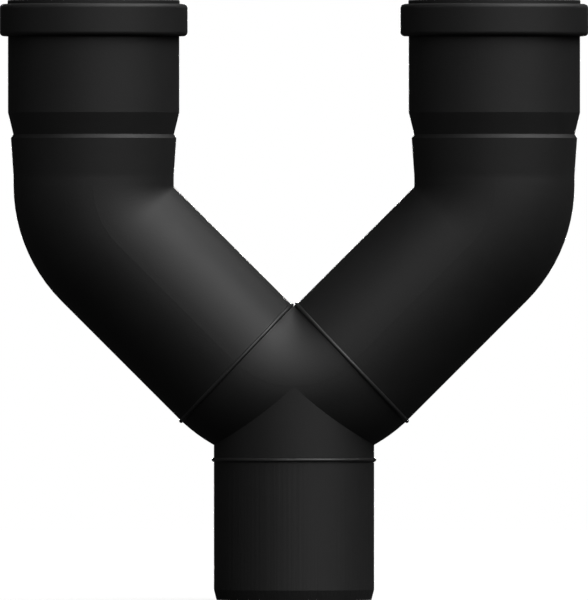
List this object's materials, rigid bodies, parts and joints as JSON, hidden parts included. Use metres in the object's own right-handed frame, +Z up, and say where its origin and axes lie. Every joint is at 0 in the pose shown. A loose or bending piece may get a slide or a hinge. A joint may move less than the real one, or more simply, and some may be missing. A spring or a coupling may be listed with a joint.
{
  "type": "duct y branch",
  "caption": "Black plastic flue pipe Y branch: a plain spigot below splits into two slanted legs that turn upright into ring-seal sockets.",
  "frame": {"origin": "centre of the spigot's open end face, the lowest point of the part", "axes": "+Z up the spigot's axis and out of both sockets, +X towards the right socket, -Y towards the viewer of the picture"},
  "size_m": [0.2938, 0.0938, 0.2994],
  "materials": {
    "black_polypropylene": "satin",
    "seal_rubber": "matte"
  },
  "bodies": {
    "root": {"spigot": "black_polypropylene", "y_body": "black_polypropylene", "left_bend": "black_polypropylene", "right_bend": "black_polypropylene", "left_seal": "seal_rubber", "right_seal": "seal_rubber"}
  },
  "joints": []
}
